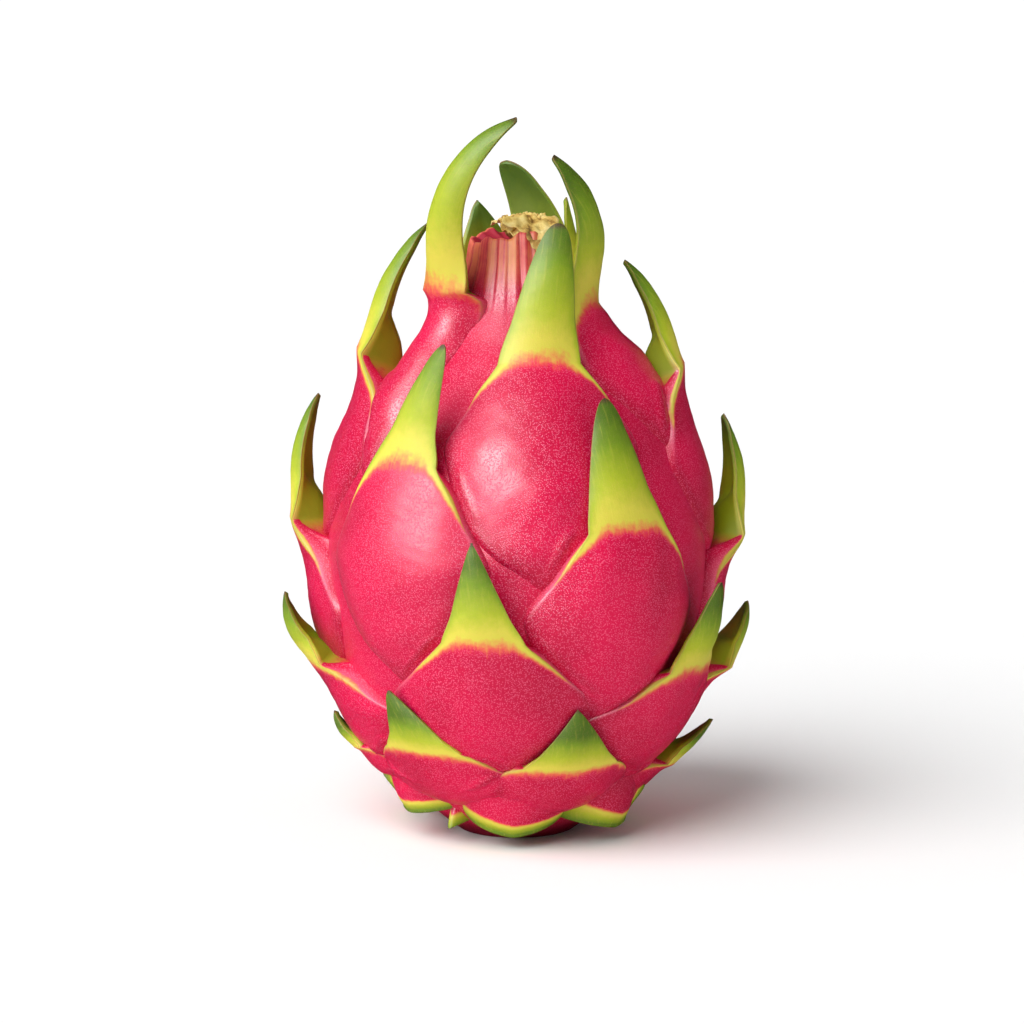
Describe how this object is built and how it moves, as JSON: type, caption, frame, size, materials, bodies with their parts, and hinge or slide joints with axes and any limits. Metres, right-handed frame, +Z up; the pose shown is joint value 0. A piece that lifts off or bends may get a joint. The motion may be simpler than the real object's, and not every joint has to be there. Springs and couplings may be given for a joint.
{
  "type": "dragon fruit",
  "caption": "Whole dragon fruit standing upright on its stem end, with curling leaf-like scales over the rind, a crown of tall scales and a dried flower remnant on its neck",
  "frame": {"origin": "centre of the small flat spot under the stem end that the fruit rests on", "axes": "+Z up from the resting spot through the neck, which is the fruit's longest extent; -Y is the front face; +X is to the right when seen from the front"},
  "size_m": [0.0995, 0.093, 0.1499],
  "materials": {
    "rind": "waxy crimson fruit rind with fine pale speckles, running through yellow to green on the scales",
    "dried_flower": "crumpled dry straw-coloured petal stubs"
  },
  "bodies": {
    "root": {"fruit": "rind", "flower_remnant": "dried_flower"}
  },
  "joints": []
}
